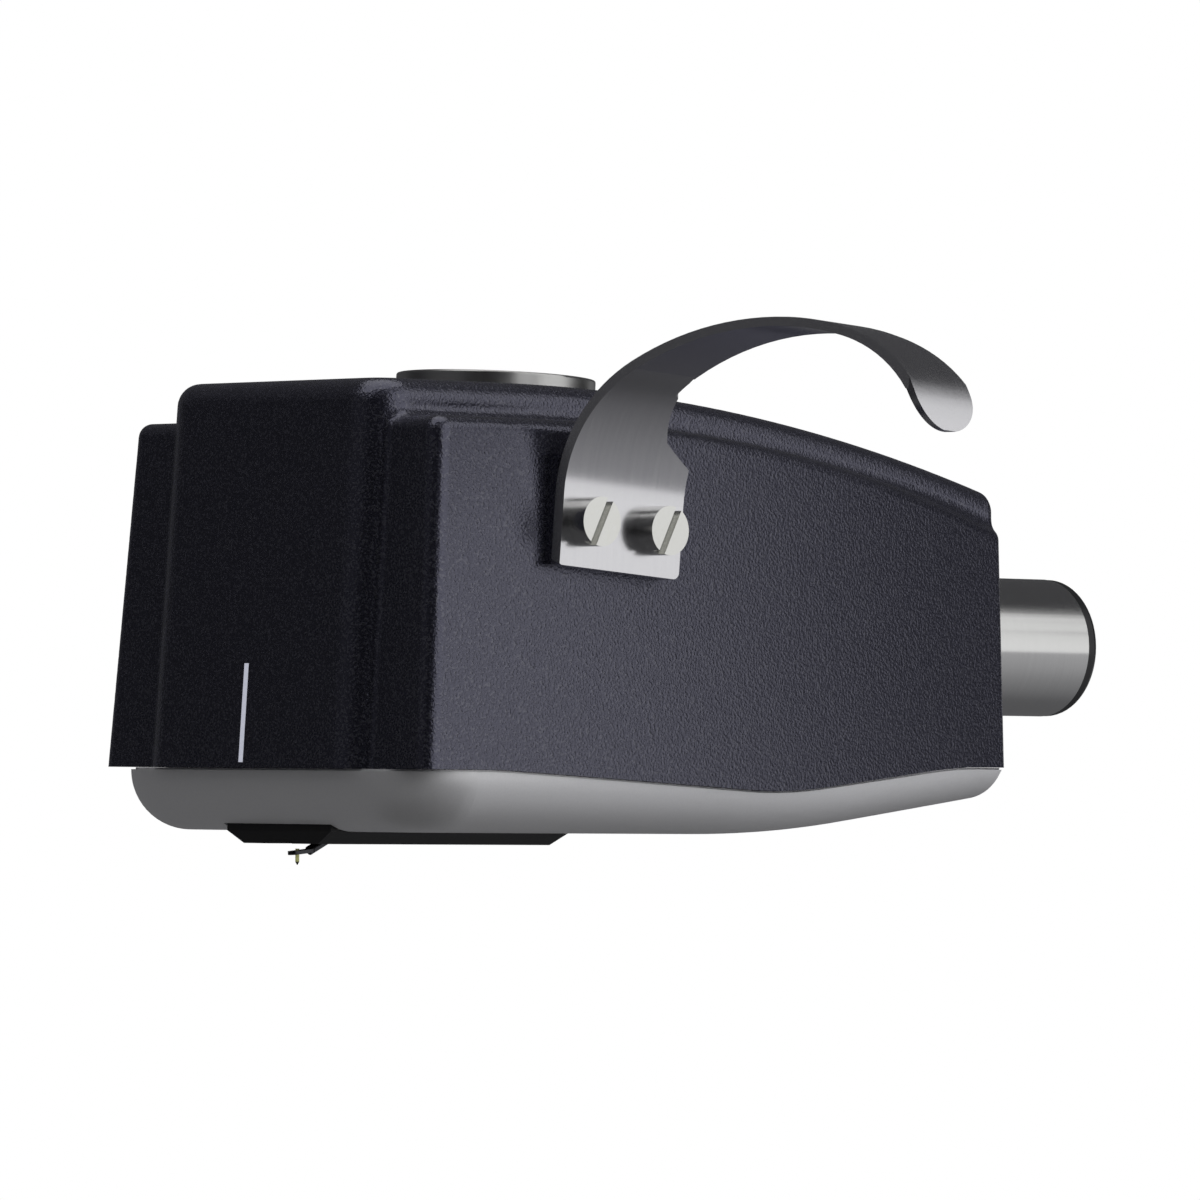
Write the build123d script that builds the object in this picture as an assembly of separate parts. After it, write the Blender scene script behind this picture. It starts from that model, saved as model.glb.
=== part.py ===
from build123d import *

import os
from math import asin, cos, degrees, radians, sin, sqrt, tan

# Moving-coil pickup built into a headshell with a bayonet collet.
# Frame in mm: the origin is on the collet axis at the shell's rear face, +X runs rearwards out of
# the collet, +Z is up, and the finger lift stands on the -Y side.

# Shell
shell_length = 48.6  # nose front to rear face, at the seam
nose_half = 9.5  # half width of the raised ridge at the nose, at the seam
ridge_half_rear = 8.4
ridge_draft = 0.6  # degrees, its sides lean in towards the top
nose_proud = 1.16  # nose ahead of the cheeks
cheek_half_front = 13.8  # half width at the front, at the seam
cheek_half_rear = 9.4
side_draft = 2.6
front_rake = 3.9  # degrees, nose and cheeks lean back
ridge_top = 13.65
ridge_rear_top = 8.6
cheek_step = 2.1  # cheek tops below the ridge
crown_start = 36.5  # from the rear face to where the roof starts to fall
wall = 1.6
rear_block = 7.0  # solid tail that holds the collet
nose_edge = 2.3  # upright edges of the nose
ridge_edge = 1.3
cheek_edge = 0.9
cheek_rim = 0.8
tail_edge = 0.6
valley = 0.7  # hollow fillet between ridge and cheek

# Seam between shell and base, a shallow wave seen from the side
seam_front = -7.5
seam_low = -8.6
seam_rear = -7.05
seam_dip_start = 42.0
seam_low_at = 19.7
seam_rise_end = 4.8
seam_blend = 40.0
seam_gap = 0.12
seam_groove = 0.25  # depth of the dark line round the seam

# Base pan
base_half_front = 13.45  # half width above the rolled edge
base_half_rear = 9.75
base_setback = 0.55  # behind the nose, at the front
base_tail_gap = 0.1  # ahead of the shell's rear face
base_bottom = -10.93
base_tail_bottom = -8.75
base_rise_start = 18.35
base_rise_blend = 100.0
base_corner = 4.6
base_tail_edge = 0.6
base_roll = 3.3  # radius of the rolled lower edge
base_wall = 1.5
base_skin = 0.4  # left under the blind holes in the floor
base_screw_front = (10.6, 8.0)  # behind the nose, from the middle
base_screw_rear = (12.0, 6.0)  # ahead of the rear face, from the middle
post_radius = 2.0
post_screw_radius = 0.9
post_screw_length = 5.0
base_head_radius = 1.6
base_head_height = 0.9
base_head_sunk = 0.25

# Collet and contacts
collet_radius = 4.0
collet_reach = 11.75  # end of the bearing wall, from the shell's rear face
neck_length = 4.6
neck_radius = 3.75  # slimmer part with the locating pin, and the spigot inside the shell
collet_bore = 2.9
contact_flange = 0.8
contact_flange_edge = 0.35
contact_radius = 0.5
contact_spread = 1.35
contact_proud = 0.8
contact_tail = 2.0
locating_pin_at = 3.4
locating_pin_radius = 0.75
locating_pin_top = 5.3
set_screw_radius = 1.0
set_screw_length = 2.8

# Finger lift
lift_station = 34.0  # middle of the plate, from the rear face
lift_height = 5.8
lift_tilt = 4.3  # degrees, rear end low
lift_gauge = 0.5
pad_height = 0.85
plate_width = 8.9
plate_drop = 2.5  # screw line to lower edge
plate_rise = 3.5  # screw line to where the rear edge turns in
turn_in_run = 2.1
turn_in_rise = 1.25
plate_corner = 0.4
bend_start = 1.45
lift_bends = ((8.3, 57.0), (15.3, 34.2), (12.2, 15.3), (6.8, 61.6))  # radius, degrees
lift_lean = 20.0  # degrees, the strip leans rearwards in plan
neck_out = 3.8
neck_rise = 8.1
neck_ease = 0.2  # extra width where the plate runs into the strip
neck_width = 4.6
waist_out = 17.0
waist_width = 3.3
tip_out = 20.5
tip_width = 4.2
lift_screw_pitch = 5.0
lift_screw_radius = 0.7
lift_screw_length = 2.5
lift_head_radius = 1.35
lift_head_height = 1.25
slot_width = 0.42
slot_depth = 0.5
slot_turn = 22.5

# Badge and index line
badge_station = 30.75
badge_radius = 5.55
badge_proud = 0.85
badge_sunk = 0.5
badge_rim = 0.85
badge_dish = 0.12
index_offset = 0.4
index_width = 0.36
index_height = 5.4
index_lift = 0.3  # above the seam
index_depth = 0.1

# Moving system
pivot_back = 9.35  # behind the front of the generator housing
pivot_z = -8.5
arm_slope = 26.0
arm_length = 8.0  # pivot to the root of the flattened end
arm_radius = 0.26
arm_bore = 0.14
spoon_length = 1.75
spoon_half = 0.36
spoon_gauge = 0.2
spoon_slope = 6.0
stylus_at = 0.82  # from the root of the flattened end
stylus_radius = 0.11
stylus_shank = 0.72
stylus_cone = 0.17
armature_reach = 1.45
armature_gauge = 0.5
armature_arm = 0.56
coil_gap = 0.02
coil_wall = 0.28
coil_length = 0.62
coil_start = 0.72
damper_radius = 1.2
damper_gauge = 0.8
running_gap = 0.15
wire_radius = 0.1
wire_play = 0.1

# Magnet system
pole_half = 3.1
pole_gauge = 1.1
pole_window = 1.0
pole_below = 1.6
pole_above = 5.4
pin_radius = 1.3
pin_length = 3.4
magnet_below = 1.9
clamp_screw_radius = 0.4

# Generator housing
housing_setback = 2.45  # behind the nose, at the base's underside
housing_half = 4.4
housing_foot = -11.62
foot_half = 3.13
foot_front_bevel = 0.15
foot_rear_bevel = 0.3
housing_ledge = -5.5  # shelf behind the magnet's box
ledge_length = 2.58
housing_fit = 0.15
pocket_fit = 0.05
housing_wall = 1.0
pocket_rise = 3.0  # walls round the magnet, above the arm's axis
tunnel_half = 0.95
tunnel_rise = 1.4  # above the arm's axis
ear_inset = 1.6  # ahead of the housing's rear end
ear_reach = 6.6
ear_radius = 1.7
ear_gauge = 1.2
ear_screw_radius = 0.7
ear_head_radius = 1.2
ear_head_height = 0.8

# Wiring
terminal_pitch = 1.4
terminal_radius = 0.3
terminal_reach = 2.4
terminal_block_size = (2.0, 6.4, 2.2)
lead_radius = 0.35
lead_bend = 4.0
hole_fit = 0.02

nose_front_x = -shell_length
cheek_front_x = nose_front_x + nose_proud
crown_x = -crown_start
bow_run = -cheek_front_x
crown_drop = ridge_top - ridge_rear_top
crown_radius = (crown_start**2 + crown_drop**2) / (2 * crown_drop)
form_foot = seam_low - 2 * cheek_step
form_height = ridge_top - form_foot + cheek_step
far = 4 * shell_length
housing_front = shell_length - housing_setback
pivot = (pivot_back - housing_front, 0.0, pivot_z)

# Stations along the arm's axis, from the pivot
armature_back = -(damper_gauge / 2 + running_gap + coil_gap + coil_wall / 2)  # windings clear the damper
armature_front = armature_back - armature_gauge
plate_rear = armature_front - 2 * running_gap
pole_face = damper_gauge / 2 + running_gap
yoke_front = pole_face + pin_length
pocket_front = plate_rear - pole_gauge - pocket_fit
pocket_rear = yoke_front + pole_gauge + pocket_fit


def prism_y(edges, half=far):
    """Solid of a closed outline in X and Z, as deep as asked on both sides of the middle."""
    return extrude(Plane.XZ * make_face(edges), half, both=True)


def rod_x(radius, start, end, y=0.0, z=0.0):
    return Pos((start + end) / 2, y, z) * Rot(0, 90, 0) * Cylinder(radius, end - start)


def rod_z(radius, low, high, x=0.0, y=0.0):
    return Pos(x, y, (low + high) / 2) * Cylinder(radius, high - low)


def block(x0, x1, half, z0, z1):
    return Pos((x0 + x1) / 2, 0, (z0 + z1) / 2) * Box(x1 - x0, 2 * half, z1 - z0)


def seam_corners(offset=0.0):
    """The seam's wave from ahead of the nose to behind the tail, before its bends are rounded."""
    return [
        (-far, seam_front + offset),
        (-seam_dip_start, seam_front + offset),
        (-seam_low_at, seam_low + offset),
        (-seam_rise_end, seam_rear + offset),
        (far, seam_rear + offset),
    ]


def seam_z(x):
    """Height of the seam at a station, straight between its corners."""
    corners = seam_corners()
    for (x0, z0), (x1, z1) in zip(corners, corners[1:]):
        if x0 <= x <= x1:
            return z0 + (z1 - z0) * (x - x0) / (x1 - x0)


def beyond_seam(height, offset=0.0):
    """Everything between the seam and a level above or below it."""
    wave = FilletPolyline(*seam_corners(offset), radius=seam_blend)
    frame = Polyline(wave @ 0, (-far, height), (far, height), wave @ 1)
    return prism_y(list(wave.edges()) + list(frame.edges()))


def bow_half(x, front_half, rear_half):
    """Half width at a station, for sides that draw in along one arc from the cheeks' front to the tail."""
    drop = front_half - rear_half
    radius = (bow_run**2 + drop**2) / (2 * drop)
    return front_half - radius + sqrt(radius**2 - (x - cheek_front_x) ** 2)


def flank_half(x):
    """Half width of the cheeks at a station, at the seam."""
    return bow_half(x, cheek_half_front, cheek_half_rear)


def hull_half(x):
    """Half width of the base at a station, above its rolled edge."""
    return bow_half(x, base_half_front, base_half_rear)


def bowed_plan(front, rear, half_at, inset=0.0):
    stations = (front, (front + rear) / 2, rear)
    near = ThreePointArc(*[(x, inset - half_at(x)) for x in stations])
    away = mirror(near, about=Plane.XZ)
    return make_face([near, Line(near @ 1, away @ 1), away, Line(away @ 0, near @ 0)])


def roof_z(x):
    """Height of the ridge's top line."""
    if x <= crown_x:
        return ridge_top
    return ridge_top - crown_radius + sqrt(crown_radius**2 - (x - crown_x) ** 2)


def roof_prism(front, drop, rear, half=far):
    """Side outline: raked front, level roof, then one falling arc to the tail."""
    lean = tan(radians(front_rake))
    top = ridge_top - drop
    foot = (front + (form_foot - seam_front) * lean, form_foot)
    brow = (front + (top - seam_front) * lean, top)
    level = Line(brow, (crown_x, top))
    fall = TangentArc(level @ 1, (rear, roof_z(rear) - drop), tangent=(1, 0))
    outline = [Line(foot, brow), level, fall]
    outline += Polyline(fall @ 1, (rear, form_foot), foot).edges()
    return prism_y(outline, half)


def steep(edge):
    return abs((edge @ 1 - edge @ 0).Z) > 4 * cheek_step


def roof_rim(edge):
    """Edges round the top, without those across it at the crown and at the end behind the tail."""
    middle = edge.center()
    return middle.Z > 0 and not steep(edge) and abs(middle.X - crown_x) > 0.1 and middle.X < 0


def lengthwise(edge):
    return abs((edge @ 1 - edge @ 0).X) > 2 * cheek_step


def in_valley(edge):
    """Long edges where the cheek tops meet the ridge's sides; the fillet runs on down the front."""
    middle = edge.position_at(0.5)
    on_ridge = abs(abs(middle.Y) - ridge_half(middle.X, middle.Z)) < 0.2
    drop = roof_z(middle.X) - middle.Z
    return on_ridge and lengthwise(edge) and abs(drop - cheek_step) < 0.03


def cheek_form(inset=0.0, rear=0.0):
    foot_grow = (seam_front - form_foot) * tan(radians(side_draft))
    plan = bowed_plan(2 * nose_front_x, shell_length / 4, flank_half, inset - foot_grow)
    flanks = extrude(Pos(0, 0, form_foot) * plan, form_height, taper=side_draft)
    return flanks & roof_prism(cheek_front_x + inset, cheek_step + inset, rear)


def ridge_half(x, z):
    """Half width of the ridge at a station and height: straight sides that draw in to the tail."""
    at_seam = nose_half + (ridge_half_rear - nose_half) * (x - nose_front_x) / shell_length
    return at_seam - (z - seam_front) * tan(radians(ridge_draft))


def ridge_form(inset=0.0, rear=0.0):
    ends = [(x, ridge_half(x, form_foot) - inset) for x in (2 * nose_front_x, shell_length / 4)]
    corners = [(x, -half) for x, half in ends] + [(x, half) for x, half in reversed(ends)]
    plan = make_face(Polyline(*corners, close=True).edges())
    bar = extrude(Pos(0, 0, form_foot) * plan, form_height, taper=ridge_draft)
    return bar & roof_prism(nose_front_x + inset, inset, rear)


def rounded_ridge():
    """The ridge with round edges along its top and down the nose, run on behind the tail."""
    ridge = ridge_form(rear=rear_block)
    ridge = fillet(ridge.edges().filter_by(lambda e: steep(e) and e.center().X < crown_x), nose_edge)
    return fillet(ridge.edges().filter_by(roof_rim), ridge_edge)


def rounded_form():
    """The shell's outside: two cheeks with a raised ridge between them that ends in the nose."""
    cheeks = cheek_form(rear=rear_block)
    cheeks = fillet(cheeks.edges().filter_by(lambda e: steep(e) and e.center().X < crown_x), cheek_edge)
    cheeks = fillet(cheeks.edges().filter_by(roof_rim), cheek_rim)
    form = cheeks + rounded_ridge()
    form = fillet(form.edges().filter_by(in_valley), valley)
    form &= block(2 * nose_front_x, 0, far, -far, far)
    tail = form.edges().filter_by(lambda e: e.center().X > -hole_fit and e.center().Z > form_foot + tail_edge)
    return fillet(tail, tail_edge)


def base_screw_places():
    front = nose_front_x + base_screw_front[0]
    for x, side in ((front, base_screw_front[1]), (-base_screw_rear[0], base_screw_rear[1])):
        for way in (1, -1):
            yield x, way * side


# Places that several pieces share
lift_side = flank_half(-lift_station) - (lift_height - seam_front) * tan(radians(side_draft))
lift_frame = Pos(-lift_station, -lift_side, lift_height) * Rot(0, lift_tilt, 0)
badge_tilt = degrees(asin((crown_start - badge_station) / crown_radius))
badge_frame = Pos(-badge_station, 0, roof_z(-badge_station)) * Rot(0, badge_tilt, 0)
index_z = seam_front + index_lift
index_x = nose_front_x + index_lift * tan(radians(front_rake))
index_frame = Pos(index_x, index_offset, index_z) * Rot(0, front_rake, 0)
arm_axis = (cos(radians(arm_slope)), 0, sin(radians(arm_slope)))
arm_up = (-sin(radians(arm_slope)), 0, cos(radians(arm_slope)))
motor_frame = Plane(origin=pivot, x_dir=arm_axis, z_dir=arm_up)
box_crest = motor_frame.from_local_coords((pocket_front - housing_wall, 0, pocket_rise))
box_back = motor_frame.from_local_coords((pocket_rear + housing_wall, 0, pocket_rise))
ledge_start = box_back.X + (box_back.Z - housing_ledge) * tan(radians(arm_slope))
housing_rear = -ledge_start - ledge_length
ear_station = housing_rear + ear_inset


def lift_screw_holes(radius, start, end):
    """Rods across the lift's plate in its own frame, at both screws."""
    rods = []
    for x in (-lift_screw_pitch / 2, lift_screw_pitch / 2):
        rods.append(Pos(x, (start + end) / 2, 0) * Rot(90, 0, 0) * Cylinder(radius, end - start))
    return rods


def make_shell():
    body = rounded_form() & beyond_seam(far)
    pad_depth = wall / 2
    pad = Box(plate_width, pad_height + pad_depth, plate_drop + plate_rise)
    pad = Pos(0, (pad_depth - pad_height) / 2, (plate_rise - plate_drop) / 2) * pad
    body += lift_frame * pad
    hollow = cheek_form(wall, -rear_block) + ridge_form(wall, -rear_block)
    posts = Part()
    for x, y in base_screw_places():
        post = rod_z(post_radius, seam_z(x), ridge_top, x, y)
        posts += post & hollow & beyond_seam(far)
    body -= hollow
    body += posts
    for x, y in base_screw_places():
        body -= rod_z(post_screw_radius + hole_fit, form_foot, seam_z(x) + post_screw_length, x, y)
    body -= rod_x(neck_radius + hole_fit, -2 * rear_block, 1)
    body -= rod_z(set_screw_radius + hole_fit, form_foot, 0, -rear_block / 2)
    for rod in lift_screw_holes(lift_screw_radius + hole_fit, -2 * pad_height, 2 * wall):
        body -= lift_frame * rod
    body -= badge_frame * Pos(0, 0, badge_sunk) * Cylinder(badge_radius + hole_fit, 4 * badge_sunk)
    groove = Box(2 * index_depth, index_width + 2 * hole_fit, index_height + 2 * hole_fit)
    body -= index_frame * Pos(0, 0, index_height / 2) * groove
    return body


def hull_form(inset=0.0):
    """Pan outside or inside: bowed plan, level floor that rises to the tail, rolled lower edge."""
    front = nose_front_x + base_setback + inset
    floor = base_bottom + inset
    rise = floor_slope() * (far + base_rise_start)
    points = [(-far, floor), (-base_rise_start, floor), (far, floor + rise)]
    line = FilletPolyline(*points, radius=base_rise_blend)
    lid = Polyline(line @ 0, (-far, 2 * far), (far, 2 * far), line @ 1)
    plan = bowed_plan(front, shell_length / 4, hull_half, inset)
    plan = fillet(plan.vertices().group_by(Axis.X)[0], base_corner - inset)
    pan = extrude(Pos(0, 0, 2 * base_bottom) * plan, -2 * base_bottom)
    pan &= prism_y(list(line.edges()) + list(lid.edges()))
    pan = fillet(pan.edges().filter_by(pan_rim), base_roll - inset)
    return pan & block(2 * front, -base_tail_gap - inset, far, -far, far)


def pan_rim(edge):
    """Edges round the floor, without those across it and those of the corners and the top."""
    run = edge @ 1 - edge @ 0
    across = abs(run.X) < 0.01 and edge.center().X > nose_front_x / 2
    upright = abs(run.Z) > 2 and abs(run.X) < 1
    return edge.center().Z < -1 and not across and not upright


def rounded_hull():
    """The pan's outside with its square tail eased."""
    hull = hull_form()
    tail = hull.edges().filter_by(lambda e: e.center().X > -base_tail_gap - 0.01 and e.center().Z < -1)
    return fillet(tail, base_tail_edge)


def make_base():
    outside = rounded_hull()
    pan = outside & beyond_seam(-far, -seam_gap)
    pan += hull_form(seam_groove) & beyond_seam(-far, -hole_fit)
    pan -= hull_form(base_wall)
    for x, y in base_screw_places():
        boss = rod_z(post_radius, base_bottom, seam_z(x) - seam_gap, x, y)
        pan += boss & outside
    for x, y in base_screw_places():
        pan -= rod_z(post_screw_radius + housing_fit, form_foot, 0, x, y)
        head_top = base_head_seat(x)
        pan -= rod_z(base_head_radius + housing_fit, form_foot, head_top, x, y)
    opening = housing_half + housing_fit
    pan -= block(-housing_front - housing_fit, -housing_rear + housing_fit, opening, form_foot, 0)
    for way in (1, -1):
        pan -= rod_z(ear_screw_radius + hole_fit, base_bottom + base_skin, 0, -ear_station, way * ear_reach)
    return pan


def floor_slope():
    return (base_tail_bottom - base_bottom) / base_rise_start


def pan_floor(x):
    return base_bottom + max(0.0, x + base_rise_start) * floor_slope()


def base_head_seat(x):
    return pan_floor(x) + base_head_sunk + base_head_height


def slotted(head, length, top):
    """Cut a driver slot across a head's outer face, along Y."""
    return head - Pos(0, 0, top) * Box(slot_width, length, 2 * slot_depth)


def screw(head_radius, head_height, shank_radius, shank_length):
    """Slotted screw with its head below and its shank pointing up from the seat at the origin."""
    head = slotted(rod_z(head_radius, -head_height, 0), 3 * head_radius, -head_height)
    return head + rod_z(shank_radius, 0, shank_length)


def make_base_screws():
    screws = []
    for x, y in base_screw_places():
        seat = base_head_seat(x)
        shank = seam_z(x) + post_screw_length - seat - 2 * housing_fit
        one = screw(base_head_radius, base_head_height, post_screw_radius, shank)
        screws.append(Pos(x, y, seat) * one)
    return screws


def make_collet():
    tube = rod_x(neck_radius, -rear_block, neck_length)
    tube += rod_x(collet_radius, neck_length, collet_reach)
    tube -= rod_x(collet_bore, -2 * rear_block, 2 * collet_reach)
    return tube - rod_z(locating_pin_radius + hole_fit, 0, collet_radius, locating_pin_at)


def make_locating_pin():
    pin = rod_z(locating_pin_radius, collet_bore + hole_fit, locating_pin_top, locating_pin_at)
    return fillet(pin.edges().group_by(Axis.Z)[-1], locating_pin_radius / 3)


def make_contact_carrier():
    end = collet_reach + contact_flange
    flange = rod_x(collet_radius - hole_fit, collet_reach, end)
    flange = fillet(flange.edges().group_by(Axis.X)[-1], contact_flange_edge)
    carrier = rod_x(collet_bore - hole_fit, -rear_block, collet_reach) + flange
    for y, z in contact_places():
        carrier -= rod_x(contact_radius + hole_fit, -2 * rear_block, 2 * end, y, z)
    return carrier


def contact_places():
    """The four contacts, in the order of the leads."""
    corners = ((-1, 1), (-1, -1), (1, -1), (1, 1))
    return [(contact_spread * y, contact_spread * z) for y, z in corners]


def make_contact_pins():
    end = collet_reach + contact_flange + contact_proud
    pins = []
    for y, z in contact_places():
        pin = rod_x(contact_radius, -rear_block - contact_tail, end, y, z)
        pins.append(fillet(pin.edges().group_by(Axis.X)[-1], contact_radius / 2))
    return pins


def make_set_screw():
    top = -neck_radius - hole_fit
    screw_body = rod_z(set_screw_radius, top - set_screw_length, top)
    screw_body = slotted(screw_body, 3 * set_screw_radius, top - set_screw_length)
    return Pos(-rear_block / 2, 0, 0) * screw_body


def lift_line(offset):
    """One face of the bent strip, seen along X: up the plate, then outwards in four arcs."""
    side = offset - pad_height - lift_gauge / 2
    edges = [Line((side, -plate_drop), (side, bend_start))]
    for radius, turn in lift_bends:
        edges.append(JernArc(edges[-1] @ 1, edges[-1] % 1, radius + offset, turn))
    return edges


def strip_front(out):
    return -plate_width / 2 + tan(radians(lift_lean)) * (out - pad_height)


def make_finger_lift():
    inner = lift_line(lift_gauge / 2)
    outer = lift_line(-lift_gauge / 2)
    ends = [Line(inner[0] @ 0, outer[0] @ 0), Line(inner[-1] @ 1, outer[-1] @ 1)]
    sheet = extrude(Plane.YZ * make_face(inner + outer + ends), 2 * plate_width, both=True)
    half = plate_width / 2
    top = 3 * tip_out
    plan = [
        (-half, far / 10),
        (-half, -pad_height),
        (strip_front(tip_out), -tip_out),
        (strip_front(tip_out), -top),
        (strip_front(tip_out) + tip_width, -top),
        (strip_front(tip_out) + tip_width, -tip_out),
        (strip_front(waist_out) + waist_width, -waist_out),
        (strip_front(neck_out) + neck_width, -neck_out),
        (half, -neck_out / 2),
        (half, far / 10),
    ]
    strip = sheet & extrude(make_face(Polyline(*plan, close=True).edges()), far, both=True)
    middle = (neck_out + waist_out) / 2
    near = plate_outline() & Pos(0, far - middle, 0) * Box(2 * far, 2 * far, 2 * far)
    beyond = tip_outline() & Pos(0, -far - middle, 0) * Box(2 * far, 2 * far, 2 * far)
    lift = strip & (near + beyond)
    for rod in lift_screw_holes(lift_screw_radius + housing_fit, -2 * pad_height, 2 * wall):
        lift -= rod
    return lift_frame * lift


def plate_outline():
    """Plate seen square on: rounded lower corners, and a rear edge that turns in to the strip."""
    half = plate_width / 2
    neck = (strip_front(neck_out) + neck_width + neck_ease, neck_rise)
    knee = (half - turn_in_run, plate_rise + turn_in_rise)
    high = far / 10
    plate = Polyline(knee, (half, plate_rise), (half, -plate_drop), (-half, -plate_drop), (-half, high))
    above = Polyline(plate @ 1, (high, high), (high, neck_rise), neck)
    turn_in = TangentArc(neck, knee, tangent=(0, -1))
    face = make_face(list(plate.edges()) + list(above.edges()) + [turn_in])
    low = face.vertices().group_by(Axis.Y)[0]
    return extrude(Plane.XZ * fillet(low, plate_corner), far, both=True)


def tip_outline():
    """Rounded end of the strip, seen square on."""
    radius = tip_width / 2
    centre = (strip_front(tip_out) + radius, lift_tip_z() + radius)
    high = far / 10
    end = ThreePointArc(
        (centre[0] - radius, centre[1]),
        (centre[0], centre[1] - radius),
        (centre[0] + radius, centre[1]),
    )
    rim = Polyline(end @ 1, (centre[0] + radius, high), (-2 * plate_width, high))
    slope = Line(rim @ 1, end @ 0)
    return prism_y([end, slope] + list(rim.edges()))


def lift_tip_z():
    return (lift_line(0.0)[-1] @ 1).Y


def make_lift_screws():
    seat = -pad_height - lift_gauge
    screws = []
    for x in (-lift_screw_pitch / 2, lift_screw_pitch / 2):
        one = screw(lift_head_radius, lift_head_height, lift_screw_radius, lift_screw_length)
        upright = Rot(0, slot_turn, 0) * Rot(-90, 0, 0) * one
        screws.append(lift_frame * Pos(x, seat, 0) * upright)
    return screws


def make_badge():
    disc = rod_z(badge_radius, -badge_sunk + hole_fit, badge_proud)
    disc = fillet(disc.edges().group_by(Axis.Z)[-1], badge_dish)
    return badge_frame * (disc - rod_z(badge_radius - badge_rim, badge_proud - badge_dish, far))


def make_index_line():
    inlay = Box(index_depth, index_width, index_height)
    return index_frame * Pos(index_depth / 2, 0, index_height / 2) * inlay


def make_armature():
    """Cross-shaped iron plate with a round hub that takes the tube and the wire."""
    middle = (armature_back + armature_front) / 2
    plate = Part()
    for turn in (45, -45):
        plate += Rot(turn, 0, 0) * Box(armature_gauge, 2 * armature_reach, armature_arm)
    hub = rod_x(coil_start - coil_gap, -armature_gauge / 2, armature_gauge / 2)
    plate = Pos(middle, 0, 0) * (plate + hub)
    plate -= rod_x(arm_radius + hole_fit, armature_front - 1, middle)
    plate -= rod_x(wire_radius + wire_play, middle - 1, 0)
    return motor_frame * plate


def make_coil(turn):
    """Windings on two opposite arms of the cross."""
    middle = (armature_back + armature_front) / 2
    inner = armature_gauge + 2 * coil_gap
    outer = armature_gauge + 2 * coil_gap + coil_wall
    height = armature_arm + 2 * coil_gap
    windings = []
    for way in (1, -1):
        sleeve = Box(outer, coil_length, height + coil_wall) - Box(inner, 2 * coil_length, height)
        place = Pos(middle, 0, 0) * Rot(turn, 0, 0) * Pos(0, way * (coil_start + coil_length / 2), 0)
        windings.append(motor_frame * (place * sleeve))
    return windings


def spoon_root():
    return Vector(*pivot) - Vector(*arm_axis) * arm_length


def make_cantilever():
    start = armature_front + armature_gauge / 2
    tube = rod_x(arm_radius, -arm_length, start) - rod_x(arm_bore, -2 * arm_length, 1)
    spoon = extrude(SlotOverall(spoon_length, 2 * spoon_half), spoon_gauge / 2, both=True)
    spoon = Pos(spoon_half - spoon_length / 2, 0, 0) * spoon
    arm = motor_frame * tube + Pos(*spoon_root()) * Rot(0, -spoon_slope, 0) * spoon
    return arm - Pos(*stylus_seat()) * Cylinder(stylus_radius + hole_fit / 2, 4 * spoon_gauge)


def stylus_seat():
    run = stylus_at * cos(radians(spoon_slope))
    drop = stylus_at * sin(radians(spoon_slope))
    return spoon_root() + Vector(-run, 0, -drop)


def make_stylus():
    top = spoon_gauge
    low = top - stylus_shank
    tip = Pos(0, 0, low - stylus_cone / 2) * Cone(stylus_radius / 6, stylus_radius, stylus_cone)
    return Pos(*stylus_seat()) * (rod_z(stylus_radius, low, top) + tip)


def make_damper():
    """Disc with a dome about the pivot, which the armature's hub bears on as it swings."""
    half = damper_gauge / 2
    dome = Sphere(-armature_back - hole_fit) & block(-1, 0, damper_radius, -damper_radius, damper_radius)
    ring = rod_x(damper_radius, -half, half) + dome
    return motor_frame * (ring - rod_x(wire_radius + wire_play, -1, 1))


def make_suspension_wire():
    front = (armature_back + armature_front) / 2 + hole_fit
    return motor_frame * rod_x(wire_radius, front, yoke_front + pole_gauge)


def make_front_pole():
    plate = block(plate_rear - pole_gauge, plate_rear, pole_half, -pole_below, pole_above)
    return motor_frame * (plate - rod_x(pole_window, -far / 10, 0))


def make_rear_pole():
    yoke = block(yoke_front, yoke_front + pole_gauge, pole_half, -pole_below, pole_above)
    yoke += rod_x(pin_radius, pole_face, yoke_front)
    yoke -= rod_x(wire_radius + hole_fit, -1, far / 10)
    clamp = yoke_front + pole_gauge / 2
    return motor_frame * (yoke - rod_z(clamp_screw_radius + hole_fit, 0, far / 10, clamp))


def make_clamp_screw():
    low = wire_radius + hole_fit
    place = Pos(yoke_front + pole_gauge / 2, 0, 0)
    body = rod_z(clamp_screw_radius, low, pole_above)
    return motor_frame * (place * slotted(body, 3 * clamp_screw_radius, pole_above))


def make_magnet():
    return motor_frame * block(plate_rear, yoke_front, pole_half, magnet_below, pole_above)


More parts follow.
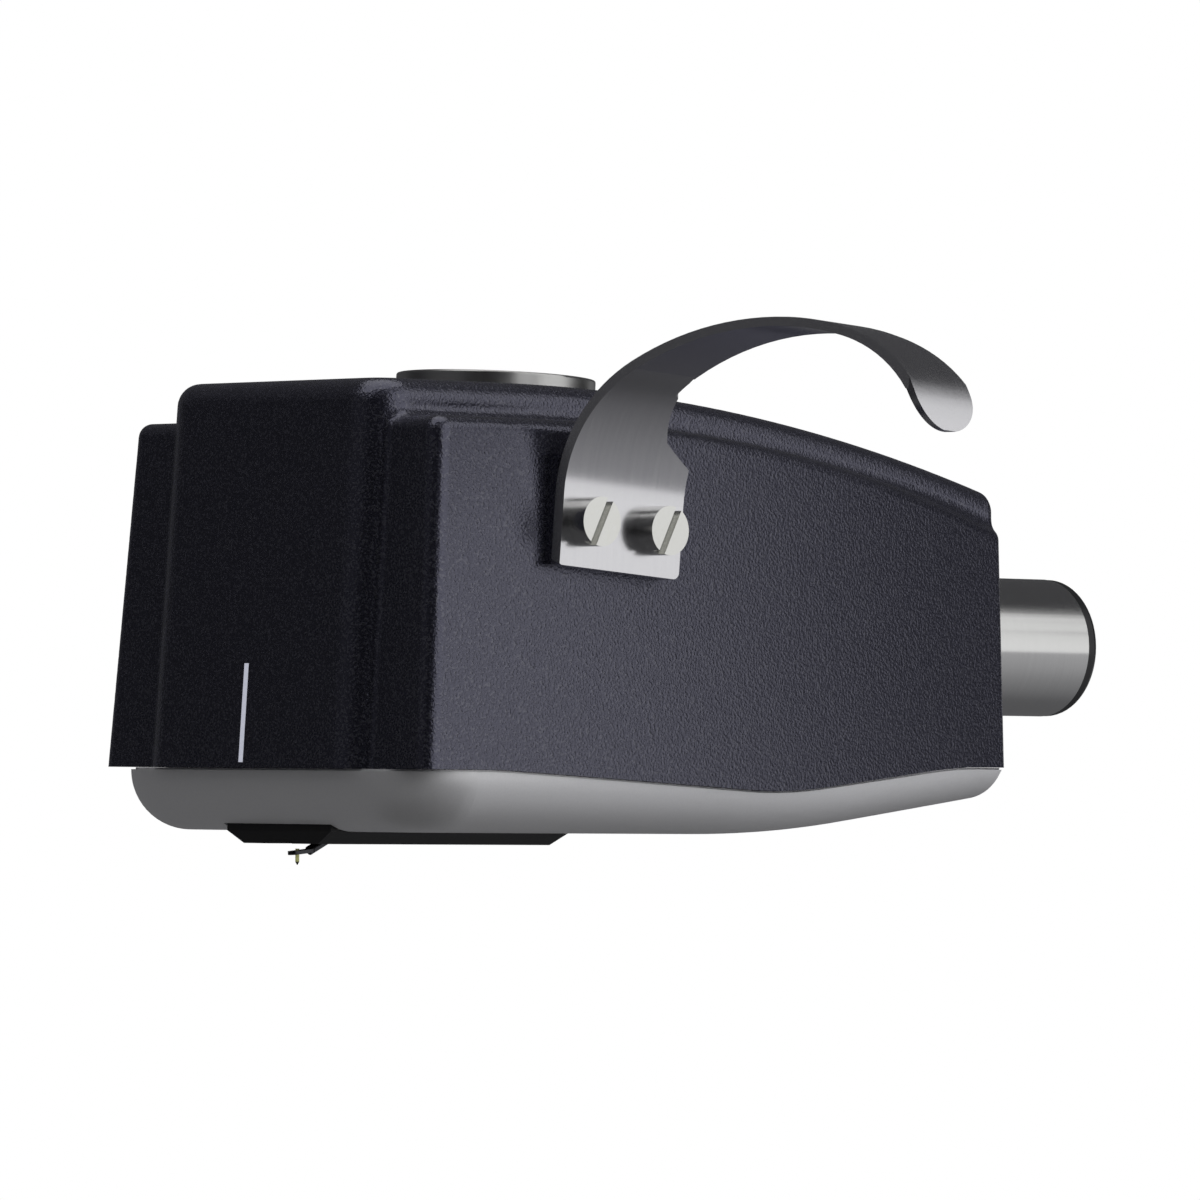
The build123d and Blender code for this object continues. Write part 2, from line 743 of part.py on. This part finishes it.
def make_housing():
    """Moulded carrier: a low bevelled foot under the base, a sloping box that holds the magnet."""
    foot_top = Pos(-(housing_front + housing_rear) / 2, 0, base_bottom)
    foot_front = housing_front - foot_front_bevel
    foot_rear = housing_rear + foot_rear_bevel
    foot_low = Pos(-(foot_front + foot_rear) / 2, 0, housing_foot)
    top_face = Rectangle(housing_front - housing_rear, 2 * housing_half)
    low_face = Rectangle(foot_front - foot_rear, 2 * foot_half)
    foot = loft([foot_low * low_face, foot_top * top_face])
    nose_top = base_bottom + base_wall + ear_gauge
    outline = Polyline(
        (-housing_front, base_bottom),
        (-housing_front, nose_top),
        (box_crest.X, box_crest.Z),
        (box_back.X, box_back.Z),
        (ledge_start, housing_ledge),
        (-housing_rear, housing_ledge),
        (-housing_rear, base_bottom),
        close=True,
    )
    body = foot + prism_y(outline.edges(), housing_half)
    ear_low = base_bottom + base_wall
    for way in (1, -1):
        ear = rod_z(ear_radius, ear_low, ear_low + ear_gauge, -ear_station, way * ear_reach)
        web = Pos(-ear_station, way * ear_reach / 2, ear_low + ear_gauge / 2)
        body += ear + web * Box(2 * ear_radius, ear_reach, ear_gauge)
        body -= rod_z(ear_screw_radius + hole_fit, form_foot, 0, -ear_station, way * ear_reach)
    pocket_floor = -pole_below - pocket_fit
    pocket = block(pocket_front, pocket_rear, pole_half + pocket_fit, pocket_floor, far / 10)
    tunnel = block(-far / 10, 0, tunnel_half, -far / 10, tunnel_rise)
    return body - motor_frame * pocket - motor_frame * tunnel


def make_ear_screws():
    top = base_bottom + base_wall + ear_gauge
    shank = ear_gauge + base_wall - base_skin - hole_fit
    one = Rot(180, 0, 0) * screw(ear_head_radius, ear_head_height, ear_screw_radius, shank)
    return [Pos(-ear_station, way * ear_reach, top) * one for way in (1, -1)]


def terminal_ys():
    return [terminal_pitch * (i - 1.5) for i in range(4)]


def terminal_z():
    return housing_ledge + terminal_block_size[2] / 2


def make_terminal_block():
    length, width, height = terminal_block_size
    body = block(-housing_rear - length, -housing_rear, width / 2, housing_ledge, housing_ledge + height)
    for y in terminal_ys():
        body -= rod_x(terminal_radius + hole_fit, -housing_rear - length / 2, 0, y, terminal_z())
    return body


def make_terminal_pins():
    start = -housing_rear - terminal_block_size[0] / 2
    end = -housing_rear + terminal_reach
    return [rod_x(terminal_radius, start, end, y, terminal_z()) for y in terminal_ys()]


def make_lead(order):
    """One lead from a terminal pin to the tail of its contact pin, an S of two arcs in one plane."""
    start = Vector(-housing_rear + terminal_reach, terminal_ys()[order], terminal_z())
    end = Vector(-rear_block - contact_tail, *contact_places()[order])
    run = end.X - start.X
    aside = end - start - Vector(run, 0, 0)
    lie = Plane(origin=start, x_dir=(1, 0, 0), z_dir=Vector(1, 0, 0).cross(aside))
    shift = aside.length
    route = [(0, 0), (run / 3, 0), (2 * run / 3, shift), (run, shift)]
    path = lie * FilletPolyline(*route, radius=lead_bend)
    return sweep(Plane(origin=start, z_dir=(1, 0, 0)) * Circle(lead_radius), path=path)


os.makedirs("parts", exist_ok=True)
nodes = {
    "shell": make_shell,
    "base": make_base,
    "base_screws": make_base_screws,
    "index_line": make_index_line,
    "top_badge": make_badge,
    "finger_lift": make_finger_lift,
    "finger_lift_screws": make_lift_screws,
    "collet": make_collet,
    "locating_pin": make_locating_pin,
    "contact_carrier": make_contact_carrier,
    "contact_pins": make_contact_pins,
    "collet_set_screw": make_set_screw,
    "generator_housing": make_housing,
    "generator_screws": make_ear_screws,
    "magnet": make_magnet,
    "front_pole_piece": make_front_pole,
    "rear_pole_piece": make_rear_pole,
    "wire_clamp_screw": make_clamp_screw,
    "suspension_wire": make_suspension_wire,
    "damper": make_damper,
    "armature": make_armature,
    "coil_left": lambda: make_coil(45),
    "coil_right": lambda: make_coil(-45),
    "cantilever": make_cantilever,
    "stylus": make_stylus,
    "terminal_block": make_terminal_block,
    "terminal_pins": make_terminal_pins,
    "lead_white": lambda: make_lead(0),
    "lead_blue": lambda: make_lead(1),
    "lead_green": lambda: make_lead(2),
    "lead_red": lambda: make_lead(3),
}
for name, make in nodes.items():
    piece = make()
    if isinstance(piece, list):
        piece = Compound(children=piece)
    export_step(piece, f"parts/{name}.step")
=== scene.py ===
import math

import bpy
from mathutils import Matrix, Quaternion, Vector


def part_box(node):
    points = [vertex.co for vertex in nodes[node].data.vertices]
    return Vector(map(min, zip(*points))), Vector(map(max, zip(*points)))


mm = 0.001
mixA, mixB, mixOut = 6, 7, 2  # colour sockets of a Mix node
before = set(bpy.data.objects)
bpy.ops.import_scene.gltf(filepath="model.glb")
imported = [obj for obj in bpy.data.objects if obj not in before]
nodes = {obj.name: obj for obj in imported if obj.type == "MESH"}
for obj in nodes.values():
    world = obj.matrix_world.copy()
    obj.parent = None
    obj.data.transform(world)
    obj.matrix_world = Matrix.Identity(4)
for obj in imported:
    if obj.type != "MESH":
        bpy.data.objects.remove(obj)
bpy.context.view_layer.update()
bpy.ops.object.select_all(action="DESELECT")
print("frame loaded:", len(nodes), "CAD nodes")


def hexColour(code):
    channels = [int(code[i:i + 2], 16) / 255 for i in (0, 2, 4)]
    linear = [c / 12.92 if c <= 0.04045 else ((c + 0.055) / 1.055) ** 2.4 for c in channels]
    return (*linear, 1.0)


def addNode(tree, kind, props=None, values=None, links=None):
    node = tree.nodes.new(kind)
    for key, value in (props or {}).items():
        setattr(node, key, value)
    for key, value in (values or {}).items():
        node.inputs[key].default_value = value
    for key, source in (links or {}).items():
        tree.links.new(source, node.inputs[key])
    return node


def newFinish(look):
    material = bpy.data.materials.new(look["name"])
    material.use_nodes = True
    tree = material.node_tree
    return material, tree, tree.nodes["Principled BSDF"]


def addGrain(tree, look):
    coords = addNode(tree, "ShaderNodeTexCoord")
    scale = [1 / (size * mm) for size in look["grainMm"]]  # one noise cell is one grain
    mapping = addNode(tree, "ShaderNodeMapping", values={"Scale": scale},
                      links={"Vector": coords.outputs["Object"]})
    grain = addNode(tree, "ShaderNodeTexNoise", values={"Scale": 1.0, "Detail": look.get("detail", 2.0)},
                    links={"Vector": mapping.outputs["Vector"]})
    return grain.outputs["Fac"]


def addSkin(tree, shader, look, grain, lightShare):
    tone = addNode(tree, "ShaderNodeMix", {"data_type": "RGBA"},
                   {mixA: hexColour(look["dark"]), mixB: hexColour(look["light"])}, {0: lightShare})
    dull = addNode(tree, "ShaderNodeMapRange",
                   values={"To Min": look["roughness"][0], "To Max": look["roughness"][1]},
                   links={"Value": grain})
    relief = addNode(tree, "ShaderNodeBump",
                     values={"Strength": look.get("relief", 0.5), "Distance": look["bumpMm"] * mm},
                     links={"Height": grain})
    tree.links.new(tone.outputs[mixOut], shader.inputs["Base Color"])
    tree.links.new(dull.outputs["Result"], shader.inputs["Roughness"])
    tree.links.new(relief.outputs["Normal"], shader.inputs["Normal"])
    return relief.outputs["Normal"]


def grainFinish(look):
    # colour, roughness and relief all follow one noise, so a pit is also darker and smoother
    material, tree, shader = newFinish(look)
    grain = addGrain(tree, look)
    addSkin(tree, shader, look, grain, grain)
    shader.inputs["Metallic"].default_value = look.get("metallic", 0.0)
    return material


def dress(material, *names):
    for name in names:
        mesh = nodes[name].data
        mesh.materials.clear()
        mesh.materials.append(material)


# Shell: black structure paint on a casting, a satin skin with metal flakes that only show where light
# falls on them. The grain is drawn as coarse as it needs to show.
shellLook = {
    "name": "structurePaintBlack", "dark": "111117", "light": "565660",
    "flakeShare": (0.56, 0.66), "flakeMetal": 0.9,
    "grainMm": (0.15, 0.15, 0.15), "detail": 1.0, "roughness": (0.32, 0.22), "bumpMm": 0.05, "relief": 0.6,
    "specular": 1.0, "tint": "d6d6ff", "coat": 0.7, "coatRoughness": 0.22,
}


def structurePaint(look):
    material, tree, shader = newFinish(look)
    grain = addGrain(tree, look)
    flake = addNode(tree, "ShaderNodeMapRange", {"interpolation_type": "SMOOTHSTEP"},
                    {"From Min": look["flakeShare"][0], "From Max": look["flakeShare"][1]}, {"Value": grain})
    metal = addNode(tree, "ShaderNodeMapRange", values={"To Max": look["flakeMetal"]},
                    links={"Value": flake.outputs["Result"]})
    relief = addSkin(tree, shader, look, grain, flake.outputs["Result"])
    tree.links.new(metal.outputs["Result"], shader.inputs["Metallic"])
    tree.links.new(relief, shader.inputs["Coat Normal"])
    shader.inputs["Specular IOR Level"].default_value = look["specular"]
    shader.inputs["Specular Tint"].default_value = hexColour(look["tint"])
    shader.inputs["Coat Weight"].default_value = look["coat"]
    shader.inputs["Coat Roughness"].default_value = look["coatRoughness"]
    return material


dress(structurePaint(shellLook), "shell")

# Base: bead-blasted aluminium, an even grey sheen with a very fine tooth
baseLook = {"name": "blastedAluminium", "dark": "e2e2e4", "light": "ececee", "metallic": 0.88,
            "roughness": (0.44, 0.5), "grainMm": (0.12, 0.12, 0.12), "bumpMm": 0.001}
dress(grainFinish(baseLook), "base")

# Finger lift: brushed spring steel, a bright strip with faint streaks
liftLook = {"name": "brushedSpringSteel", "dark": "cecdd1", "light": "d8d8da", "metallic": 1.0,
            "roughness": (0.17, 0.22), "grainMm": (0.12, 6.0, 6.0), "bumpMm": 0.0006, "detail": 3.0}
dress(grainFinish(liftLook), "finger_lift")

# Lift screws: turned steel with nickel plate, pale bright heads
liftScrewLook = {"name": "nickelPlatedScrew", "dark": "d3d3ce", "light": "dddddb", "metallic": 1.0,
                 "roughness": (0.18, 0.26), "grainMm": (0.3, 0.3, 0.3), "bumpMm": 0.001}
dress(grainFinish(liftScrewLook), "finger_lift_screws")

# Collet: tube turned on a lathe and nickel plated, faint rings round its axis
colletLook = {"name": "turnedNickelTube", "dark": "d0d0cf", "light": "dadad9", "metallic": 1.0,
              "roughness": (0.13, 0.17), "grainMm": (0.09, 5.0, 5.0), "bumpMm": 0.0005}
dress(grainFinish(colletLook), "collet", "locating_pin")

# Contact carrier: moulded insulator, black with a low shine
carrierLook = {"name": "mouldedPhenolic", "dark": "0f0f10", "light": "19191b", "roughness": (0.25, 0.4),
               "grainMm": (0.3, 0.3, 0.3), "bumpMm": 0.004}
dress(grainFinish(carrierLook), "contact_carrier")

# Contacts and terminals: gold plate over brass, warm and shiny
goldLook = {"name": "goldPlatedBrass", "dark": "c79a45", "light": "e2bd6a", "metallic": 1.0,
            "roughness": (0.18, 0.3), "grainMm": (0.08, 0.6, 0.6), "bumpMm": 0.002}
dress(grainFinish(goldLook), "contact_pins", "terminal_pins")

# Badge: polished nickel disc, soft reflections on a grey metal
badgeLook = {"name": "polishedNickel", "dark": "b9b9b8", "light": "cdcdcb", "metallic": 1.0,
             "roughness": (0.26, 0.34), "grainMm": (1.2, 1.2, 1.2), "bumpMm": 0.001}
dress(grainFinish(badgeLook), "top_badge")

# Index line: white enamel in a shallow groove, clean and slightly cool
indexLook = {"name": "whiteEnamel", "dark": "e2e6fb", "light": "eef0ff", "roughness": (0.35, 0.5),
             "grainMm": (0.2, 0.2, 0.2), "bumpMm": 0.004}
dress(grainFinish(indexLook), "index_line")

# Generator housing: black moulded plastic, the dull fine texture of a spark-eroded mould
housingLook = {"name": "mouldedAbsBlack", "dark": "09090a", "light": "141416", "roughness": (0.34, 0.48),
               "grainMm": (0.18, 0.18, 0.18), "bumpMm": 0.008}
dress(grainFinish(housingLook), "generator_housing")

# Stylus arm: drawn aluminium tube, dark grey with streaks along it
armLook = {"name": "drawnAluminium", "dark": "3e3e40", "light": "5c5c60", "metallic": 1.0,
           "roughness": (0.25, 0.4), "grainMm": (0.5, 0.04, 0.04), "bumpMm": 0.001}
dress(grainFinish(armLook), "cantilever")

# Stylus: pale bonded shank, dark polished diamond at its tip
stylusLook = {"name": "bondedDiamond", "dark": "b1b46a", "light": "d2d496", "roughness": (0.15, 0.25),
              "grainMm": (0.1, 0.1, 0.1), "bumpMm": 0.001, "tip": "0a0a08", "tipMm": (0.13, 0.23)}


def diamondFinish(look):
    material = grainFinish(look)
    tree = material.node_tree
    colour = tree.nodes["Principled BSDF"].inputs["Base Color"]
    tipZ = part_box("stylus")[0][2]
    tipEnd, shankStart = [tipZ + size * mm for size in look["tipMm"]]
    coords = addNode(tree, "ShaderNodeTexCoord")
    height = addNode(tree, "ShaderNodeSeparateXYZ", links={0: coords.outputs["Object"]})
    shank = addNode(tree, "ShaderNodeMapRange", {"interpolation_type": "SMOOTHSTEP"},
                    {"From Min": tipEnd, "From Max": shankStart}, {"Value": height.outputs["Z"]})
    tone = addNode(tree, "ShaderNodeMix", {"data_type": "RGBA"}, {mixA: hexColour(look["tip"])},
                   {0: shank.outputs["Result"], mixB: colour.links[0].from_socket})
    tree.links.new(tone.outputs[mixOut], colour)
    return material


dress(diamondFinish(stylusLook), "stylus")

# Plain screws: zinc-plated steel, pale grey and slightly mottled
screwLook = {"name": "zincPlatedSteel", "dark": "8d8d8f", "light": "b1b1b3", "metallic": 1.0,
             "roughness": (0.26, 0.42), "grainMm": (0.25, 0.25, 0.25), "bumpMm": 0.003}
dress(grainFinish(screwLook), "base_screws", "generator_screws", "collet_set_screw", "wire_clamp_screw")

# Magnet: cast alloy, dark and matt with a coarse grain
magnetLook = {"name": "castMagnetAlloy", "dark": "4b4b4e", "light": "67676a", "metallic": 1.0,
              "roughness": (0.4, 0.6), "grainMm": (0.4, 0.4, 0.4), "bumpMm": 0.01}
dress(grainFinish(magnetLook), "magnet")

# Pole pieces and armature: ground soft iron, grey with fine grinding lines
ironLook = {"name": "groundSoftIron", "dark": "6b6b6d", "light": "8a8a8c", "metallic": 1.0,
            "roughness": (0.3, 0.45), "grainMm": (0.06, 2.0, 2.0), "bumpMm": 0.003}
dress(grainFinish(ironLook), "front_pole_piece", "rear_pole_piece", "armature")

# Suspension wire: drawn spring steel, thin streaks along it
wireLook = {"name": "drawnSteelWire", "dark": "808082", "light": "9a9a9c", "metallic": 1.0,
            "roughness": (0.25, 0.35), "grainMm": (0.8, 0.03, 0.03), "bumpMm": 0.001}
dress(grainFinish(wireLook), "suspension_wire")

# Damper: moulded soft rubber, black with hardly any shine
damperLook = {"name": "dampingRubber", "dark": "141414", "light": "222222", "roughness": (0.65, 0.8),
              "grainMm": (0.15, 0.15, 0.15), "bumpMm": 0.006}
dress(grainFinish(damperLook), "damper")

# Coils: enamelled copper wire, a brown shimmer as fine as its turns
coilLook = {"name": "enamelledCopper", "dark": "7a3d1c", "light": "c4733a", "metallic": 0.8,
            "roughness": (0.25, 0.4), "grainMm": (0.05, 0.05, 0.05), "bumpMm": 0.006}
dress(grainFinish(coilLook), "coil_left", "coil_right")

# Terminal block: moulded nylon, ivory with a soft sheen
blockLook = {"name": "mouldedNylonIvory", "dark": "cfc6ad", "light": "ded7c2", "roughness": (0.4, 0.55),
             "grainMm": (0.25, 0.25, 0.25), "bumpMm": 0.006}
dress(grainFinish(blockLook), "terminal_block")

# Leads: thin extruded insulation in the usual four colours, smooth and even
leadLook = {"name": "extrudedInsulation", "roughness": (0.4, 0.5), "grainMm": (1.5, 0.2, 0.2),
            "bumpMm": 0.004}
leadColours = {
    "white": ("d9d9d4", "ebebe6"), "blue": ("1d3f94", "2a52b4"),
    "green": ("1d7034", "2a8a45"), "red": ("96201d", "b72c28"),
}
for colour, (dark, light) in leadColours.items():
    look = {**leadLook, "name": leadLook["name"] + "_" + colour, "dark": dark, "light": light}
    dress(grainFinish(look), "lead_" + colour)
print("finishes on all CAD nodes")

# Camera: fitted to the photo
view = {"placeMm": (-399.66, -421.96, -8.61), "azimuth": -41.768, "elevation": -1.087, "roll": 0.535,
        "lensMm": 302.5, "sensorMm": 36, "nearMm": 10}


def placeCamera(plan):
    turn, rise, roll = [math.radians(plan[key]) for key in ("azimuth", "elevation", "roll")]
    ahead = Vector((-math.sin(turn) * math.cos(rise), math.cos(turn) * math.cos(rise), -math.sin(rise)))
    bpy.ops.object.camera_add(location=[v * mm for v in plan["placeMm"]])
    camera = bpy.context.object
    camera.name = "photoCamera"
    camera.rotation_mode = "QUATERNION"
    camera.rotation_quaternion = ahead.to_track_quat("-Z", "Y") @ Quaternion((0, 0, 1), roll)
    camera.data.lens = plan["lensMm"]
    camera.data.sensor_width = plan["sensorMm"]
    camera.data.clip_start = plan["nearMm"] * mm
    bpy.context.scene.camera = camera


placeCamera(view)
bpy.context.scene.view_settings.view_transform = "Standard"
print("camera placed")

# Lamps: three softboxes aimed at the shell
studioCentre = Vector((-22.8, 0, 2)) * mm
lampPlans = {
    "softboxRight": {"azimuth": -66, "elevation": 18, "awayMm": 420, "sizeMm": (320, 240), "watts": 1.4},
    "softboxOverhead": {"azimuth": -40, "elevation": 62, "awayMm": 500, "sizeMm": (420, 160), "watts": 0.3},
    "softboxFill": {"azimuth": 110, "elevation": 30, "awayMm": 500, "sizeMm": (320, 240), "watts": 0.25},
}


def direction(azimuth, elevation):
    turn, rise = math.radians(azimuth), math.radians(elevation)
    return Vector((math.cos(turn) * math.cos(rise), math.sin(turn) * math.cos(rise), math.sin(rise)))


def addSoftbox(name, plan):
    away = direction(plan["azimuth"], plan["elevation"])
    bpy.ops.object.light_add(type="AREA", location=studioCentre + away * plan["awayMm"] * mm)
    lamp = bpy.context.object
    lamp.name = name
    lamp.rotation_mode = "QUATERNION"
    lamp.rotation_quaternion = (-away).to_track_quat("-Z", "Y")
    lamp.data.shape = "RECTANGLE"
    lamp.data.size, lamp.data.size_y = [side * mm for side in plan["sizeMm"]]
    lamp.data.energy = plan["watts"]
    lamp.visible_glossy = False  # metal shows the windows, not the lamps


for name, plan in lampPlans.items():
    addSoftbox(name, plan)
print("lamps placed")

# World: white to the camera and in reflections, weaker as light on the part
worldPlan = {"name": "whiteStudio", "ambient": 0.52, "shown": 1.0}


def makeWorld(plan):
    world = bpy.data.worlds.new(plan["name"])
    bpy.context.scene.world = world
    world.use_nodes = True
    sky = world.node_tree
    sky.nodes.clear()
    rays = addNode(sky, "ShaderNodeLightPath")
    shown = rays.outputs["Is Camera Ray"]
    for kind in ("Is Glossy Ray", "Is Transmission Ray"):
        shown = addNode(sky, "ShaderNodeMath", {"operation": "MAXIMUM"},
                        links={0: shown, 1: rays.outputs[kind]}).outputs[0]
    strength = addNode(sky, "ShaderNodeMapRange", values={"To Min": plan["ambient"], "To Max": plan["shown"]},
                       links={"Value": shown})
    white = addNode(sky, "ShaderNodeBackground", values={"Color": (1, 1, 1, 1)},
                    links={"Strength": strength.outputs["Result"]})
    addNode(sky, "ShaderNodeOutputWorld", links={"Surface": white.outputs[0]})


makeWorld(worldPlan)

# Floor: pale matt paper that takes the shadow and runs out into the white
floorPlan = {"heightMm": -45, "radiusMm": 290, "sides": 96, "fadeMm": (110, 285),
             "colour": "e4e4e2", "roughness": 0.9}


def paperFinish(plan, middle):
    material, tree, shader = newFinish({"name": "palePaper"})
    shader.inputs["Base Color"].default_value = hexColour(plan["colour"])
    shader.inputs["Roughness"].default_value = plan["roughness"]
    coords = addNode(tree, "ShaderNodeTexCoord")
    distance = addNode(tree, "ShaderNodeVectorMath", {"operation": "DISTANCE"}, {1: middle},
                       {0: coords.outputs["Object"]})
    rim = addNode(tree, "ShaderNodeMapRange", {"interpolation_type": "SMOOTHSTEP"},
                  {"From Min": plan["fadeMm"][0] * mm, "From Max": plan["fadeMm"][1] * mm},
                  {"Value": distance.outputs["Value"]})
    clear = addNode(tree, "ShaderNodeBsdfTransparent")
    faded = addNode(tree, "ShaderNodeMixShader",
                    links={0: rim.outputs["Result"], 1: shader.outputs[0], 2: clear.outputs[0]})
    tree.links.new(faded.outputs[0], tree.nodes["Material Output"].inputs["Surface"])
    return material


def makeFloor(plan):
    middle = (studioCentre.x, studioCentre.y, plan["heightMm"] * mm)
    bpy.ops.mesh.primitive_circle_add(vertices=plan["sides"], radius=plan["radiusMm"] * mm, fill_type="NGON",
                                      location=middle)
    floor = bpy.context.object
    floor.name = "paleFloor"
    bpy.ops.object.transform_apply(location=True)
    floor.data.materials.append(paperFinish(plan, middle))
    floor.visible_glossy = False  # the tent's table stands for it in reflections


makeFloor(floorPlan)
print("floor laid")

# Tent: what metal and paint mirror, a glowing sphere of painted reflections. Glowing grey walls with a tall
# window on the lift's side, another high in front of the nose and an open roof. Below, a painted table that
# is brighter towards the key side, painted light. Dark panels stand in front, behind, at the far side and
# below; the one below is a painted shadow of the part on the table.
tentPlan = {
    "radiusMm": 700, "segments": 180, "rings": 90,
    "sideWindow": {"azimuth": (-108, -40), "elevation": (-7, 47), "slant": 0.6, "slantFrom": 16},
    "noseWindow": {"azimuth": (150, 205), "elevation": (34, 60)},
    "roofFrom": 58,
    "keyAzimuth": -15, "wallTone": "48484a", "wallStart": (-0.06, 0.12),
    "tableLightTones": ((0.0, "48484a"), (0.3, "4c4c4e"), (0.72, "565658"), (0.83, "646466"),
                   (0.9, "909092"), (0.95, "c0c0c2"), (1.0, "e6e6e8")),
    "panels": ({"azimuth": -148, "elevation": 0, "reach": (0.88, 0.96), "tone": "121213"},
               {"azimuth": -14, "elevation": 4, "reach": (0.92, 0.98), "tone": "282829"},
               {"azimuth": 126, "elevation": 4, "reach": (0.93, 0.985), "tone": "2c2c2e"},
               {"azimuth": 72, "elevation": -28, "reach": (0.86, 0.97), "tone": "545456"},
               # the panel below is a painted shadow of the part on the table beneath it
               {"azimuth": 0, "elevation": -90, "reach": (0.74, 0.86), "tone": "28282a"}),
}


def cutWindows(tent, plan):
    bpy.ops.object.mode_set(mode="EDIT")
    bpy.ops.mesh.select_mode(type="FACE")
    bpy.ops.mesh.select_all(action="DESELECT")
    bpy.ops.object.mode_set(mode="OBJECT")
    side, nose = plan["sideWindow"], plan["noseWindow"]
    for face in tent.data.polygons:
        turn = math.degrees(math.atan2(face.center.y, face.center.x))
        rise = math.degrees(math.asin(face.center.z / face.center.length))
        edge = side["azimuth"][1] + side["slant"] * max(0, rise - side["slantFrom"])  # leans out higher up
        inSide = side["azimuth"][0] < turn < edge and side["elevation"][0] < rise < side["elevation"][1]
        inNose = (nose["azimuth"][0] < turn % 360 < nose["azimuth"][1]
                  and nose["elevation"][0] < rise < nose["elevation"][1])
        face.select = inSide or inNose or rise > plan["roofFrom"]
    bpy.ops.object.mode_set(mode="EDIT")
    bpy.ops.mesh.delete(type="FACE")
    bpy.ops.object.mode_set(mode="OBJECT")


def reflectionGlowFinish(plan):
    material = bpy.data.materials.new("paintedReflectionGlow")
    material.use_nodes = True
    material.cycles.emission_sampling = "NONE"
    glowTree = material.node_tree
    glowTree.nodes.clear()
    coords = addNode(glowTree, "ShaderNodeTexCoord")
    aim = addNode(glowTree, "ShaderNodeVectorMath", {"operation": "NORMALIZE"},
                  links={0: coords.outputs["Object"]})
    facing = addNode(glowTree, "ShaderNodeVectorMath", {"operation": "DOT_PRODUCT"},
                     {1: direction(plan["keyAzimuth"], 0)}, {0: aim.outputs[0]})
    level = addNode(glowTree, "ShaderNodeMapRange", values={"From Min": -1.0},
                    links={"Value": facing.outputs["Value"]})
    # table tones: painted light, brighter towards the key lamp's side
    table = addNode(glowTree, "ShaderNodeValToRGB", links={0: level.outputs["Result"]})
    stops = table.color_ramp.elements
    for count, (at, code) in enumerate(plan["tableLightTones"]):
        stop = stops[count] if count < 2 else stops.new(at)  # a new ramp has two stops
        stop.position = at
        stop.color = hexColour(code)
    height = addNode(glowTree, "ShaderNodeSeparateXYZ", links={0: aim.outputs[0]})
    wall = addNode(glowTree, "ShaderNodeMapRange", {"interpolation_type": "SMOOTHSTEP"},
                   {"From Min": plan["wallStart"][0], "From Max": plan["wallStart"][1]},
                   {"Value": height.outputs["Z"]})
    tone = addNode(glowTree, "ShaderNodeMix", {"data_type": "RGBA"}, {mixB: hexColour(plan["wallTone"])},
                   {0: wall.outputs["Result"], mixA: table.outputs["Color"]}).outputs[mixOut]
    for panel in plan["panels"]:
        near = addNode(glowTree, "ShaderNodeVectorMath", {"operation": "DOT_PRODUCT"},
                       {1: direction(panel["azimuth"], panel["elevation"])}, {0: aim.outputs[0]})
        share = addNode(glowTree, "ShaderNodeMapRange", {"interpolation_type": "SMOOTHSTEP"},
                        {"From Min": panel["reach"][0], "From Max": panel["reach"][1]},
                        {"Value": near.outputs["Value"]})
        tone = addNode(glowTree, "ShaderNodeMix", {"data_type": "RGBA"}, {mixB: hexColour(panel["tone"])},
                       {0: share.outputs["Result"], mixA: tone}).outputs[mixOut]
    # the tent glows with these painted reflection tones, though it is no lamp
    glow = addNode(glowTree, "ShaderNodeEmission", links={"Color": tone})
    addNode(glowTree, "ShaderNodeOutputMaterial", links={"Surface": glow.outputs[0]})
    return material


def makeTent(plan):
    bpy.ops.mesh.primitive_uv_sphere_add(segments=plan["segments"], ring_count=plan["rings"],
                                         radius=plan["radiusMm"] * mm, location=studioCentre)
    tent = bpy.context.object
    tent.name = "reflectionGlowTent"
    cutWindows(tent, plan)
    tent.data.materials.append(reflectionGlowFinish(plan))
    tent.visible_camera = False  # only reflections see it
    tent.visible_diffuse = False
    tent.visible_shadow = False
    tent.visible_transmission = False


makeTent(tentPlan)
print("studio ready")
